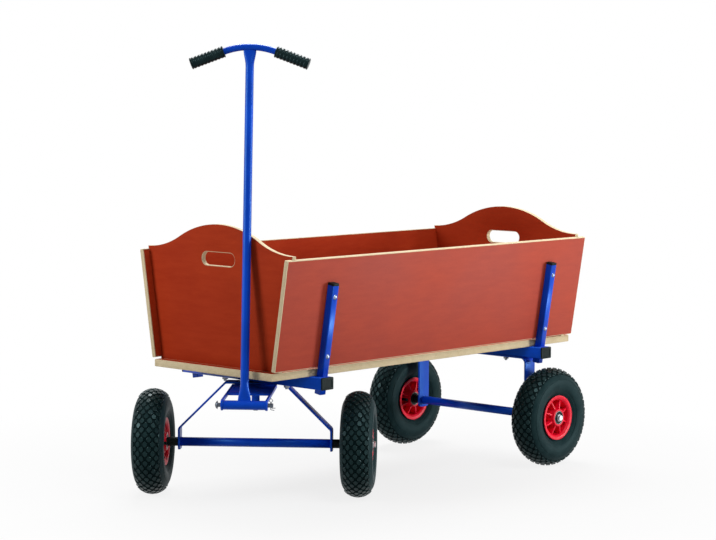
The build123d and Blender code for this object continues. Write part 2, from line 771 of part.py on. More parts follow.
os.makedirs("parts", exist_ok=True)
for name, shape in parts.items():
    export_step(shape, f"parts/{name}.step")
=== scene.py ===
import json
import math

import bmesh
import bpy
from mathutils import Matrix, Vector


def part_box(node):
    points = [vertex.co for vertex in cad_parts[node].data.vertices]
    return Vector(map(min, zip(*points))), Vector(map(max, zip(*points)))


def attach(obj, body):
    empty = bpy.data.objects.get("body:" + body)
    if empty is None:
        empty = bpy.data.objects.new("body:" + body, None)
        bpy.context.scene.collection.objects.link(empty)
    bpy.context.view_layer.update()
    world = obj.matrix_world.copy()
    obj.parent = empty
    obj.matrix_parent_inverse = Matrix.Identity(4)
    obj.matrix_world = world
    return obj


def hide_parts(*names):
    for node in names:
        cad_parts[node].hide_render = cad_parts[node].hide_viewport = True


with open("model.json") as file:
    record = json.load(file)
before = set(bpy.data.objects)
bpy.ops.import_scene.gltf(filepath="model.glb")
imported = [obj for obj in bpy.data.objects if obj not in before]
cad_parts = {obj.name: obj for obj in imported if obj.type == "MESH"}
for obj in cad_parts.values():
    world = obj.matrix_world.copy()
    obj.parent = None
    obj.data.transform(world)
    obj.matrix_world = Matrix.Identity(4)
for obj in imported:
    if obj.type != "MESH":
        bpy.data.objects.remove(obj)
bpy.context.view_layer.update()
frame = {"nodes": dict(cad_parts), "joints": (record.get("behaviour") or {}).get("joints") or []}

# Viewpoint: a long lens about as high as the handlebar, ahead of the wagon's left front corner.
# Its place comes from a camera fitted to the photograph, with the tyres taken as 260 mm across.
quarter = math.pi / 2
lens_mm = 112.8
sensor_mm = 36.0
camera_place = Vector((3.88169, -4.17999, 1.02472))
azimuth = math.radians(42.82)
elevation = math.radians(4.93)
roll = math.radians(0.21)
view = bpy.data.cameras.new("view")
view.sensor_width = sensor_mm
view.lens = lens_mm
camera = bpy.data.objects.new("view", view)
bpy.context.scene.collection.objects.link(camera)
aim = Matrix.Rotation(azimuth, 4, "Z") @ Matrix.Rotation(quarter - elevation, 4, "X")
camera.matrix_world = Matrix.Translation(camera_place) @ aim @ Matrix.Rotation(roll, 4, "Z")
bpy.context.scene.camera = camera
bpy.context.scene.view_settings.view_transform = "Standard"


# Studio: a white sweep under soft lamps. The world is white to the camera and in reflections,
# and dimmer as a light, so that the floor keeps a soft shadow and colours render as written.
white = (1, 1, 1, 1)
light_level = 0.20
floor_half = 40.0
floor_grey = (0.40, 0.40, 0.40, 1)
shadow_share = 0.22
shadow_reach = 1.4
sharp_angle = math.radians(35)
lamps = {
    "top_softbox": {"place": (-1.4, 1.4, 4.0), "target": (0.0, 0.0, 0.4), "size": 2.4, "power": 250.0},
    "key_softbox": {"place": (3.8, 2.9, 0.6), "target": (0.1, 0.0, 0.4), "size": 1.6, "power": 184.0},
    "left_fill": {"place": (-0.9, -2.15, 1.2), "target": (0.0, -0.5, 0.5), "size": 0.9, "power": 28.0},
    "tray_fill": {"place": (2.4, -0.4, 3.7), "target": (0.0, 0.0, 0.4), "size": 2.0, "power": 80.0},
}


class Socket:
    """An output socket of a node tree. Arithmetic on it adds Math nodes to the tree."""

    def __init__(self, tree, output=None):
        self.tree = tree
        self.output = output

    def add(self, kind, settings=None, sockets=None, output=0):
        """Add a node: first its settings, then the values or links of its sockets."""
        node = self.tree.nodes.new(kind)
        for name, value in (settings or {}).items():
            if name == "stops":
                for stop, (position, colour) in zip(node.color_ramp.elements, value):
                    stop.position = position
                    stop.color = colour
            else:
                setattr(node, name, value)
        for name, value in (sockets or {}).items():
            socket = next(item for item in node.inputs if name in (item.identifier, item.name))
            if isinstance(value, Socket):
                self.tree.links.new(value.output, socket)
            else:
                socket.default_value = value
        return Socket(self.tree, node.outputs[output]) if node.outputs else node

    def math(self, operation, first, second=0.0):
        """A Math node on two values or sockets."""
        return self.add("ShaderNodeMath", {"operation": operation}, {"Value": first, "Value_001": second})

    def __add__(self, other):
        return self.math("ADD", self, other)

    def __rsub__(self, other):
        return self.math("SUBTRACT", other, self)

    def __mul__(self, other):
        return self.math("MULTIPLY", self, other)

    __radd__ = __add__
    __rmul__ = __mul__


def seen(shader):
    """1 for rays that show the surroundings, directly or mirrored, and 0 for those that light things."""
    kinds = ("Camera", "Glossy", "Transmission")
    rays = [shader.add("ShaderNodeLightPath", output=f"Is {kind} Ray") for kind in kinds]
    return shader.math("MINIMUM", rays[0] + rays[1] + rays[2], 1.0)


def new_material(name):
    """An empty material, the socket that adds its nodes, and a point's place on the piece."""
    material = bpy.data.materials.new(name)
    material.use_nodes = True
    material.node_tree.nodes.clear()
    shader = Socket(material.node_tree)
    return material, shader, shader.add("ShaderNodeTexCoord", output="Object")


def as_mesh(bm, name):
    """Put a bmesh away as a mesh."""
    mesh = bpy.data.meshes.new(name)
    bm.to_mesh(mesh)
    bm.free()
    return mesh


def linked(bm, name, finish):
    """Turn a bmesh into a smooth-shaded object at the origin that keeps its sharp edges."""
    mesh = as_mesh(bm, name)
    for material in finish:
        mesh.materials.append(material)
    mesh.shade_smooth()
    mesh.set_sharp_from_angle(angle=sharp_angle)
    piece = bpy.data.objects.new(name, mesh)
    bpy.context.scene.collection.objects.link(piece)
    return piece


world = bpy.data.worlds.new("studio")
world.use_nodes = True
world.node_tree.nodes.clear()
sky = Socket(world.node_tree)
strength = seen(sky) * (1 - light_level) + light_level
glow = sky.add("ShaderNodeBackground", {}, {"Color": white, "Strength": strength})
sky.add("ShaderNodeOutputWorld", {}, {"Surface": glow})
bpy.context.scene.world = world

sweep_paint, shader, place = new_material("sweep_paint")
matt = shader.add("ShaderNodeBsdfDiffuse", {}, {"Color": floor_grey})
lit = shader.add("ShaderNodeEmission", {}, {"Color": white, "Strength": 1.0})
distance = shader.add("ShaderNodeVectorMath", {"operation": "LENGTH"}, {"Vector": place}, output="Value")
nearness = shader.math("MAXIMUM", 1 - distance * (1 / shadow_reach), 0.0)
bright = seen(shader) * (1 - nearness * shadow_share)
surface = shader.add("ShaderNodeMixShader", {}, {"Fac": bright, "Shader": matt, "Shader_001": lit})
shader.add("ShaderNodeOutputMaterial", {}, {"Surface": surface})
bm = bmesh.new()
bmesh.ops.create_grid(bm, x_segments=1, y_segments=1, size=floor_half)
linked(bm, "floor", [sweep_paint])

for name, lamp in lamps.items():
    light = bpy.data.lights.new(name, "AREA")
    light.shape = "DISK"
    light.size = lamp["size"]
    light.energy = lamp["power"]
    softbox = bpy.data.objects.new(name, light)
    bpy.context.scene.collection.objects.link(softbox)
    facing = (Vector(lamp["target"]) - Vector(lamp["place"])).to_track_quat("-Z", "Y")
    softbox.matrix_world = Matrix.Translation(lamp["place"]) @ facing.to_matrix().to_4x4()


# Bed: one sheet of birch plywood with red-brown phenolic film pressed on both faces.
# It is sawn to size, so its edges show the pale plies, and every arris is eased by hand.
film_dark = (0.258, 0.018, 0.003, 1)
film_light = (0.378, 0.038, 0.009, 1)
lengthwise_grain = (90.0, 16.0, 90.0)
dull_shine = 0.06
ply_pale = (0.61, 0.52, 0.34, 1)
ply_dark = (0.36, 0.27, 0.15, 1)
veneer_t = 0.0014
ply_waver = 0.0006
arris = 0.0020
arris_steps = 2
arris_angle = math.radians(40)
film_facing = 0.97
outer_film, inner_film, sawn_edge = range(3)
no_lean = (0, 0, 0)


def noise(shader, place, scale, detail, roughness=0.5):
    """A Noise texture: scale gives its cells to the metre, where place isn't stretched."""
    sockets = {"Vector": place, "Scale": scale, "Detail": detail, "Roughness": roughness}
    return shader.add("ShaderNodeTexNoise", {}, sockets)


def ramp(shader, tone, dark, light):
    """A ramp between two stops, each a tone and its colour."""
    return shader.add("ShaderNodeValToRGB", {"stops": [dark, light]}, {"Fac": tone})


def bumps(shader, height, strength, depth):
    """What a surface's Normal takes to show a fine relief."""
    return shader.add("ShaderNodeBump", {}, {"Height": height, "Strength": strength, "Distance": depth})


def finished(material, shader, sockets):
    """Close a material with one Principled shader."""
    surface = shader.add("ShaderNodeBsdfPrincipled", {}, sockets)
    shader.add("ShaderNodeOutputMaterial", {}, {"Surface": surface})
    return material


def film(name, grain, shine):
    """Phenolic film: grain stretches the veneer's faint streaks along the board."""
    material, shader, place = new_material(name)
    along = shader.add("ShaderNodeMapping", {}, {"Vector": place, "Scale": grain})
    streaks = noise(shader, along, scale=1.0, detail=5.0, roughness=0.6)
    clouds = noise(shader, place, scale=5.0, detail=2.0)
    fine = noise(shader, place, scale=900.0, detail=2.0)
    tone = streaks * 0.28 + clouds * 0.28 + fine * 0.44
    finish = {
        "Base Color": ramp(shader, tone, (0.36, film_dark), (0.66, film_light)),
        "Roughness": 0.64 + 0.14 * clouds,
        "Normal": bumps(shader, fine, strength=0.2, depth=0.0003),
        "Specular IOR Level": shine,
    }
    return finished(material, shader, finish)


def ply_edge(name, upright, through):
    """Sawn plywood edge: upright turns a leaning board back, through names the axis through the plies."""
    material, shader, place = new_material(name)
    turned = shader.add("ShaderNodeMapping", {}, {"Vector": place, "Rotation": upright})
    depth = shader.add("ShaderNodeSeparateXYZ", {}, {"Vector": turned}, output=through)
    wander = noise(shader, place, scale=30.0, detail=3.0)
    fibres = noise(shader, place, scale=420.0, detail=3.0)
    plies = shader.math("SINE", (depth + wander * ply_waver) * (math.pi / veneer_t))
    tone = plies * 0.28 + fibres * 0.5 + wander * 0.35
    finish = {
        "Base Color": ramp(shader, tone, (0.12, ply_dark), (0.62, ply_pale)),
        "Roughness": 0.62 + 0.2 * fibres,
        "Normal": bumps(shader, fibres, strength=0.3, depth=0.0005),
        "Specular IOR Level": 0.2,
    }
    return finished(material, shader, finish)


def corners(node):
    """A CAD node's lowest and highest corners."""
    return (Vector(corner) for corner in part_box(node))


def fit(bm, name, finish, body, node, place=Matrix()):
    """Set a finished mesh in its place, ride it on its body and let it stand for its CAD node."""
    bm.transform(place)
    if place.determinant() < 0:
        bmesh.ops.reverse_faces(bm, faces=bm.faces)
    piece = linked(bm, name, finish)
    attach(piece, body)
    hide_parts(node)
    return piece


def round_edges(bm, edges, reach, steps):
    """Round edges over, by a reach on each side."""
    bmesh.ops.bevel(bm, geom=edges, offset=reach, segments=steps, profile=0.5, affect="EDGES", material=-1)


def in_groove(face):
    """Whether a face meets another at an inner corner."""
    return any(not edge.is_convex and edge.calc_face_angle() > arris_angle for edge in face.edges)


def fit_board(bm, name, through, ease, finish, node, place):
    """Ease a board's arrises outside its grooves, film both its faces and fit it to the chassis."""
    bmesh.ops.recalc_face_normals(bm, faces=bm.faces)
    sharp = [edge for edge in bm.edges if edge.is_convex and edge.calc_face_angle() > arris_angle]
    arrises = [edge for edge in sharp if not any(in_groove(face) for face in edge.link_faces)]
    round_edges(bm, arrises, ease, arris_steps)
    bm.normal_update()
    for face in bm.faces:
        facing = face.normal["XYZ".index(through)]
        face.material_index = sawn_edge
        if abs(facing) > film_facing:
            face.material_index = outer_film if facing > 0 else inner_film
    fit(bm, name, finish, "chassis", node, place)


bed_low, bed_high = corners("bed_board")
dull_film = film("dull_film", lengthwise_grain, dull_shine)
bed_finish = [dull_film, dull_film, ply_edge("bed_edge", no_lean, "Z")]
bed_place = Matrix.Translation((bed_low + bed_high) / 2)
bm = bmesh.new()
bmesh.ops.create_cube(bm, size=1.0, matrix=Matrix.Diagonal((*(bed_high - bed_low), 1)))
fit_board(bm, "plywood_bed", "Z", arris, bed_finish, "bed_board", bed_place)


# Bolsters: rectangular steel tubes across under the bed, one over each axle, pierced by the stakes.
# All the steelwork is powder coated in gloss blue, which flows round the arrises as it cures.
coat_deep = (0.001, 0.034, 0.40, 1)
coat_bright = (0.002, 0.048, 0.50, 1)
coat_sheen = (0.14, 0.58, 1.0, 1)
bolster_corner = 0.003
bolster_wall = 0.002
corner_steps = 4
end_facing = 0.99
along_x = Matrix.Rotation(quarter, 4, "Y")


def powder_coat():
    """Gloss powder coat, with the faint orange peel that it cures to."""
    material, shader, place = new_material("blue_powder_coat")
    clouds = noise(shader, place, scale=14.0, detail=3.0)
    peel = noise(shader, place, scale=520.0, detail=1.0)
    finish = {
        "Base Color": ramp(shader, clouds, (0.35, coat_deep), (0.65, coat_bright)),
        "Roughness": 0.32 + 0.1 * clouds,
        "Normal": bumps(shader, peel, strength=0.12, depth=0.0003),
        "Specular IOR Level": 0.45,
        "Specular Tint": coat_sheen,
    }
    return finished(material, shader, finish)


def end_faces(bm, sign):
    """The faces at the upper (1) or lower (-1) end of a bar along Z."""
    return [face for face in bm.faces if face.normal.z * sign > end_facing]


def bar_stock(size, corner, dish=()):
    """A bar along Z with its four long edges rounded, its upper end dished by steps of inset and depth."""
    bm = bmesh.new()
    bmesh.ops.create_cube(bm, size=1.0, matrix=Matrix.Diagonal((*size, 1)))
    bm.normal_update()
    head = end_faces(bm, 1)
    for thickness, depth in dish:
        bmesh.ops.inset_individual(bm, faces=head, thickness=thickness, depth=depth, use_even_offset=True)
    long_edges = [edge for edge in bm.edges if abs(edge.verts[0].co.z - edge.verts[1].co.z) > size[2] / 2]
    round_edges(bm, long_edges, corner, corner_steps)
    bm.normal_update()
    return bm


def open_tube(size, corner):
    """A rectangular tube along Z, open at its ends."""
    bm = bar_stock(size, corner)
    bmesh.ops.delete(bm, geom=end_faces(bm, 1) + end_faces(bm, -1), context="FACES_ONLY")
    return bm


def give_wall(piece, thickness):
    """Thicken an open tube inwards."""
    wall = piece.modifiers.new("tube_wall", "SOLIDIFY")
    wall.thickness = thickness
    wall.offset = -1.0


blue = powder_coat()
for end in ("front", "rear"):
    low, high = corners(f"{end}_bolster")
    bolster_size = high - low
    place = Matrix.Translation((low + high) / 2) @ along_x
    bm = open_tube((bolster_size.z, bolster_size.y, bolster_size.x), bolster_corner)
    tube = fit(bm, f"{end}_bolster_tube", [blue], "chassis", f"{end}_bolster", place)
    give_wall(tube, bolster_wall)


# Bolster plugs: black polyethylene mouldings pressed into the tubes' ends, dished on the outside.
# Their faces carry the fine grain of a spark-eroded mould.
plug_head = 0.004
plug_stem = 0.009
plug_round = 0.0012
plug_border = 0.006
plug_dish = 0.0012
crown_angle = math.radians(80)
crown_steps = 3
black_deep = (0.006, 0.011, 0.011, 1)
black_worn = (0.012, 0.020, 0.020, 1)
mirror_x = Matrix.Diagonal((-1, 1, 1, 1))


def moulded_black():
    """Black plastic with a spark-eroded grain."""
    material, shader, place = new_material("moulded_black")
    grain = noise(shader, place, scale=1400.0, detail=2.0)
    clouds = noise(shader, place, scale=40.0, detail=2.0)
    finish = {
        "Base Color": ramp(shader, clouds, (0.3, black_deep), (0.7, black_worn)),
        "Roughness": 0.38 + 0.15 * clouds,
        "Normal": bumps(shader, grain, strength=0.3, depth=0.0002),
        "Specular IOR Level": 0.05,
    }
    return finished(material, shader, finish)


def round_crown(bm, crown):
    """Round the edges round the upper end of a bar along Z."""
    upper = {edge for face in end_faces(bm, 1) for edge in face.edges}
    outer = [edge for edge in bm.edges if edge in upper and edge.calc_face_angle() > crown_angle]
    round_edges(bm, outer, crown, crown_steps)


def give_stem(bm, size, wall, length):
    """Add the block below a head that is pressed into the tube."""
    stem = Matrix.Diagonal((size[0] - 2 * wall, size[1] - 2 * wall, length, 1))
    bmesh.ops.create_cube(bm, size=1.0, matrix=Matrix.Translation((0, 0, -length / 2)) @ stem)


def repeated(bm, places):
    """Copies of a bmesh at several places, in one bmesh."""
    mesh = as_mesh(bm, "pattern")
    group = bmesh.new()
    for place in places:
        copy = mesh.copy()
        copy.transform(place)
        if place.determinant() < 0:
            copy.flip_normals()
        group.from_mesh(copy)
    return group


black = moulded_black()
plug_places = []
for end in ("front", "rear"):
    low, high = corners(f"{end}_bolster")
    middle = (low + high) / 2
    tip = Matrix.Translation((high.x + plug_head / 2, middle.y, middle.z)) @ along_x
    plug_places += [tip, mirror_x @ tip]
plug_size = (bolster_size.z, bolster_size.y, plug_head)
bm = bar_stock(plug_size, bolster_corner, [(plug_border, 0.0), (plug_dish / 2, -plug_dish)])
round_crown(bm, plug_round)
give_stem(bm, plug_size, bolster_wall, plug_stem)
fit(repeated(bm, plug_places), "bolster_end_plugs", [black], "chassis", "bolster_plugs")


# Bed bolts: domed coach bolts down through bed and bolster, each with a flange nut below.
# They are zinc plated and passivated to a soft grey.
zinc_grey = (0.12, 0.13, 0.15, 1)
zinc_worn = (0.24, 0.25, 0.27, 1)


def zinc_plate(name, dark, light):
    """Zinc plate, clouded by its passivation."""
    material, shader, place = new_material(name)
    clouds = noise(shader, place, scale=120.0, detail=3.0)
    colour = ramp(shader, clouds, (0.3, dark), (0.7, light))
    finish = {"Base Color": colour, "Metallic": 1.0, "Roughness": 0.26 + 0.14 * clouds}
    return finished(material, shader, finish)


def dress(node, material):
    """Give a CAD node that keeps its shape its finish."""
    finish = frame["nodes"][node].data.materials
    finish.clear()
    finish.append(material)


zinc = zinc_plate("grey_zinc", zinc_grey, zinc_worn)
dress("bed_bolts", zinc)
dress("bed_flange_nuts", zinc)


# Side boards: the same plywood, thinner, leaning outwards and standing just clear of the bed.
# Two grooves across each inner face take the end boards; the outer face keeps the film's sheen.
side_lean = math.radians(9.4)
side_t = 0.012
side_h = 0.268
side_x = 0.2125
side_gap = 0.003
groove_depth = 0.004
groove_gap = 0.0003
satin_shine = 0.44
side_foot = Matrix.Translation((side_x, 0, bed_high.z + side_gap))
lean = side_foot @ Matrix.Rotation(side_lean, 4, "Y")
sides = {"left": lean, "right": mirror_x @ lean}


def of_kind(geom, kind):
    """The vertices, edges or faces among the elements that an operator returns."""
    return [item for item in geom if isinstance(item, kind)]


def draw_out(bm, run):
    """Draw flat faces out along a vector."""
    drawn = bmesh.ops.extrude_face_region(bm, geom=bm.faces[:])["geom"]
    bmesh.ops.translate(bm, verts=of_kind(drawn, bmesh.types.BMVert), vec=run)
    bmesh.ops.recalc_face_normals(bm, faces=bm.faces)


def side_board():
    """A side board standing on Z = 0, with its outer face at X = 0."""
    bm = bmesh.new()
    groove_x = groove_depth - side_t
    outline = [(0, bed_low.y), (0, bed_high.y), (-side_t, bed_high.y)]
    for node in ("rear_board", "front_board"):
        low, high = corners(node)
        back, front = high.y + groove_gap, low.y - groove_gap
        outline += [(-side_t, back), (groove_x, back), (groove_x, front), (-side_t, front)]
    outline.append((-side_t, bed_low.y))
    bm.faces.new([bm.verts.new((x, y, 0)) for x, y in outline])
    draw_out(bm, (0, 0, side_h))
    return bm


satin_film = film("satin_film", lengthwise_grain, satin_shine)
for side, place in sides.items():
    upright = (0, -side_lean if side == "left" else side_lean, 0)
    side_finish = [satin_film, dull_film, ply_edge(f"{side}_edge", upright, "X")]
    fit_board(side_board(), f"{side}_plywood_side", "X", arris, side_finish, f"{side}_side_board", place)


# End boards: cut with a wavy top and a long hand slot, and slid into the grooves.
# The slot is routed round so that fingers don't meet a sharp edge.
crosswise_grain = (16.0, 90.0, 90.0)
crown_r = 0.285
hump_rise = 0.0635
slot_l = 0.112
slot_h = 0.032
slot_rise = 0.2565
slot_round = 0.0016
slot_steps = 3
end_arris = 0.0004
arc_steps = 24


def arc(bm, start, pivot, angle, steps):
    """Spin one vertex round a pivot in the XZ plane and return the last vertex."""
    turn = {"cent": pivot, "axis": (0, 1, 0), "angle": angle}
    spun = bmesh.ops.spin(bm, geom=[start], steps=steps, use_duplicate=False, **turn)
    return of_kind(spun["geom_last"], bmesh.types.BMVert)[0]


def chain(bm, points):
    """Join vertices by edges, one after the other."""
    for pair in zip(points, points[1:]):
        bm.edges.new(pair)


def at_slot(vert, slot_z):
    """Whether a vertex of an end board lies on the rim of its slot."""
    return abs(vert.co.x) < slot_l and abs(vert.co.z - slot_z) < slot_h


def end_board(low, high):
    """An end board that fills its node's box, with its front face at Y = 0."""
    shoulder = high.z - hump_rise
    both_r = (high.x**2 + hump_rise**2) / (2 * hump_rise)
    valley_r = both_r - crown_r
    bend = math.asin(high.x / both_r)
    foot_half = high.x - (shoulder - low.z) * math.tan(side_lean)
    bm = bmesh.new()
    start = bm.verts.new((-high.x, 0, shoulder))
    rise = arc(bm, start, (-high.x, 0, shoulder + valley_r), -bend, arc_steps)
    fall = arc(bm, rise, (0, 0, high.z - crown_r), 2 * bend, 2 * arc_steps)
    last = arc(bm, fall, (high.x, 0, shoulder + valley_r), -bend, arc_steps)
    feet = [bm.verts.new((x, 0, low.z)) for x in (foot_half, -foot_half)]
    chain(bm, [last, *feet, start])
    slot_z = low.z + slot_rise
    run = (slot_l - slot_h) / 2
    right_low = bm.verts.new((run, 0, slot_z - slot_h / 2))
    right_top = arc(bm, right_low, (run, 0, slot_z), -math.pi, arc_steps)
    left_top = bm.verts.new((-run, 0, slot_z + slot_h / 2))
    left_low = arc(bm, left_top, (-run, 0, slot_z), -math.pi, arc_steps)
    chain(bm, [right_top, left_top])
    chain(bm, [left_low, right_low])
    bmesh.ops.triangle_fill(bm, use_beauty=True, use_dissolve=False, edges=bm.edges[:])
    draw_out(bm, (0, high.y - low.y, 0))
    near_slot = [edge for edge in bm.edges if all(at_slot(vert, slot_z) for vert in edge.verts)]
    rounded = [edge for edge in near_slot if edge.calc_face_angle() > arris_angle]
    round_edges(bm, rounded, slot_round, slot_steps)
    return bm


crosswise_film = film("crosswise_film", crosswise_grain, dull_shine)
end_finish = [crosswise_film, crosswise_film, ply_edge("end_edge", no_lean, "Y")]
for end in ("front", "rear"):
    low, high = corners(f"{end}_board")
    board = end_board(low, high)
    place = Matrix.Translation((0, low.y, 0))
    fit_board(board, f"{end}_plywood_end", "Y", end_arris, end_finish, f"{end}_board", place)


# Stakes: square steel tubes that pass down through the bolsters and carry the side boards.
# Bolts through the board into sleeve nuts hold each one, and a black cap closes it.
stake_w = 0.020
stake_wall = 0.002
stake_corner = 0.0025
stake_top = 0.2035
stake_foot = -0.0628
cap_head = 0.006
cap_stem = 0.012
cap_round = 0.0020
bright_grey = (0.15, 0.20, 0.30, 1)
bright_white = (0.28, 0.35, 0.48, 1)
cap_places = []
for end in ("front", "rear"):
    low, high = corners(f"{end}_left_stake")
    for side, place in sides.items():
        axis = place @ Matrix.Translation((stake_w / 2, (low.y + high.y) / 2, 0))
        bm = open_tube((stake_w, stake_w, stake_top - stake_foot), stake_corner)
        middle = axis @ Matrix.Translation((0, 0, (stake_top + stake_foot) / 2))
        node = f"{end}_{side}_stake"
        give_wall(fit(bm, f"{node}_tube", [blue], "chassis", node, middle), stake_wall)
        cap_places.append(axis @ Matrix.Translation((0, 0, stake_top + cap_head / 2)))
cap_size = (stake_w, stake_w, cap_head)
bm = bar_stock(cap_size, stake_corner)
round_crown(bm, cap_round)
give_stem(bm, cap_size, stake_wall, cap_stem)
fit(repeated(bm, cap_places), "stake_end_caps", [black], "chassis", "stake_caps")
bright_zinc = zinc_plate("bright_zinc", bright_grey, bright_white)
dress("stake_bolts", bright_zinc)
dress("stake_sleeve_nuts", bright_zinc)


# Rear axle bracket: flat steel bent twice in a press brake and bolted up under the rear bolster.
# The feet of its legs are cut round, and a tube between them carries the axle rod.
strap_w = 0.040
strap_t = 0.005
strap_arris = 0.0008
strap_arris_steps = 3
foot_r = 0.008
foot_steps = 6
leg_x = 0.187
leg_tail = 0.018
bracket_bend_r = 0.015
bend_steps = 12
axle_tube_r = 0.011
axle_tube_wall = 0.0025
tube_steps = 48
weld = 1e-6
axle_z = sum(corner[2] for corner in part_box("rear_left_tyre")) / 2


def everything(bm):
    """All of a bmesh's elements."""
    return bm.verts[:] + bm.edges[:] + bm.faces[:]


def centre_of(points):
    """The middle of some vertices."""
    return sum((point.co for point in points), Vector()) / len(points)


def draw_on(bm, ring, run, stretch=(1, 1, 1)):
    """Draw a ring of edges on along a vector, stretching it as it goes, and return the new ring."""
    drawn = bmesh.ops.extrude_edge_only(bm, edges=ring)["geom"]
    points = of_kind(drawn, bmesh.types.BMVert)
    bmesh.ops.scale(bm, vec=stretch, space=Matrix.Translation(-centre_of(points)), verts=points)
    bmesh.ops.translate(bm, verts=points, vec=run)
    return of_kind(drawn, bmesh.types.BMEdge)


def bend_bar(bm, ring, moves):
    """Draw a ring from X = 0 through runs (length, None) and bends (radius, angle) in the XZ plane."""
    heading = Vector((1, 0, 0))
    for reach, angle in moves:
        if angle is None:
            ring = draw_on(bm, ring, heading * reach)
            continue
        points = dict.fromkeys(point for edge in ring for point in edge.verts)
        inside = Vector((heading.z, 0, -heading.x)) * math.copysign(reach, angle)
        turn = {"cent": centre_of(points) + inside, "axis": (0, 1, 0), "angle": angle}
        spun = bmesh.ops.spin(bm, geom=ring, steps=bend_steps, use_duplicate=False, **turn)
        ring = of_kind(spun["geom_last"], bmesh.types.BMEdge)
        heading = Matrix.Rotation(angle, 3, "Y") @ heading
    return ring, heading


def mirror_half(bm):
    """Add the mirror image of half a piece about X = 0 and join the two."""
    bmesh.ops.mirror(bm, geom=everything(bm), axis="X", merge_dist=weld)


def close_ends(bm):
    """Close a bar's open ends and turn its faces outwards."""
    bmesh.ops.holes_fill(bm, edges=[edge for edge in bm.edges if edge.is_boundary], sides=0)
    bmesh.ops.recalc_face_normals(bm, faces=bm.faces)


def round_corners(bm, points, reach, steps):
    """Round the corners of faces, or cut them flat in one step, and return the faces this adds."""
    rounded = bmesh.ops.bevel(
        bm, geom=points, offset=reach, segments=steps, profile=0.5, affect="VERTICES", material=-1
    )
    return rounded["faces"]


def bent_strap(top_z, moves):
    """Flat steel bent to both sides of X = 0, with round feet."""
    bm = bmesh.new()
    section = along_x @ Matrix.Diagonal((strap_t / 2, strap_w / 2, 1, 1))
    at_top = Matrix.Translation((0, 0, top_z)) @ section
    bmesh.ops.create_grid(bm, x_segments=1, y_segments=1, size=1.0, matrix=at_top)
    round_corners(bm, bm.verts[:], strap_arris, strap_arris_steps)
    bmesh.ops.delete(bm, geom=bm.faces[:], context="FACES_ONLY")
    ring, heading = bend_bar(bm, bm.edges[:], moves)
    half, height = strap_w / 2, 0.0
    for step in range(1, foot_steps + 1):
        angle = quarter * step / foot_steps
        next_half = strap_w / 2 - foot_r * (1 - math.cos(angle))
        next_height = foot_r * math.sin(angle)
        ring = draw_on(bm, ring, heading * (next_height - height), (1, next_half / half, 1))
        half, height = next_half, next_height
    mirror_half(bm)
    close_ends(bm)
    return bm


def fit_axle_tube(end, body, place):
    """A round tube between the legs' inner faces."""
    bm = bmesh.new()
    size = {"radius1": axle_tube_r, "radius2": axle_tube_r, "depth": 2 * leg_x - strap_t}
    bmesh.ops.create_cone(bm, cap_ends=False, segments=tube_steps, matrix=along_x, **size)
    name = f"{end}_axle_tube"
    at_axle = place @ Matrix.Translation((0, 0, axle_z))
    give_wall(fit(bm, f"{name}_pipe", [blue], body, name, at_axle), axle_tube_wall)


rear_low, rear_high = corners("rear_axle_bracket")
at_rear = Matrix.Translation((0, (rear_low.y + rear_high.y) / 2, 0))
bracket_top = rear_high.z - strap_t / 2
bracket_moves = [
    (leg_x - bracket_bend_r, None),
    (bracket_bend_r, quarter),
    (bracket_top - bracket_bend_r - axle_z + leg_tail - foot_r, None),
]
bracket = bent_strap(bracket_top, bracket_moves)
fit(bracket, "rear_bracket_strap", [blue], "chassis", "rear_axle_bracket", at_rear)
fit_axle_tube("rear", "chassis", at_rear)


# Kingpin: a bolt welded into the front bolster, on which the front axle turns.
# A black turntable washer runs between bolster and hoop; a washer and lock nut hold it below.
dress("turntable_washer", black)
for node in ("kingpin", "kingpin_washer", "kingpin_lock_nut"):
    dress(node, zinc)


# Front axle hoop: flat steel bent into an arch that turns on the kingpin, with its own axle tube.
# Its shoulders slope so that the wheels can turn under the bed.
hoop_shoulder = 0.072
hoop_knee = 0.035
hoop_bend_r = 0.010
joints = {joint["name"]: joint for joint in frame["joints"]}
kingpin = Vector(joints["steering_turn"]["pos_m"])
fold_axis = Vector(joints["drawbar_fold"]["axis"])
steer = math.atan2(fold_axis.y, fold_axis.x)
steered = Matrix.Translation((kingpin.x, kingpin.y, 0)) @ Matrix.Rotation(steer, 4, "Z")


def tangent(radius, angle):
    """How far a bend takes the straight runs short of their corner."""
    return radius * math.tan(angle / 2)


hoop_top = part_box("axle_hoop")[1][2] - strap_t / 2
drop = hoop_top - axle_z - hoop_knee
spread = leg_x - hoop_shoulder
fall = math.atan2(drop, spread)
upper = tangent(hoop_bend_r, fall)
lower = tangent(hoop_bend_r, quarter - fall)
hoop_moves = [
    (hoop_shoulder - upper, None),
    (hoop_bend_r, fall),
    (math.hypot(drop, spread) - upper - lower, None),
    (hoop_bend_r, quarter - fall),
    (hoop_knee - lower + leg_tail - foot_r, None),
]
hoop = bent_strap(hoop_top, hoop_moves)
fit(hoop, "hoop_strap", [blue], "steering", "axle_hoop", steered)
fit_axle_tube("front", "steering", steered)
dress("kingpin_sleeve", blue)


# Yoke: a plate welded under the hoop and two arms with round eyes, all cut from flat steel.
# The drawbar hangs between the eyes on a hitch pin with a domed head, kept by a split pin.
yoke_gap = 0.100
yoke_t = 0.005
yoke_neck = 0.008
yoke_reach = 0.146
yoke_dip = 0.0053
eye_r = 0.013
eye_steps = 40
steel_arris = 0.0007
pin_dark = (0.05, 0.06, 0.08, 1)
pin_light = (0.13, 0.15, 0.18, 1)
pivot = Vector(joints["drawbar_fold"]["pos_m"])
pivot_reach = (pivot - kingpin).xy.length
yoke_top = hoop_top - strap_t / 2
forward = steered @ Matrix.Rotation(-quarter, 4, "Z")


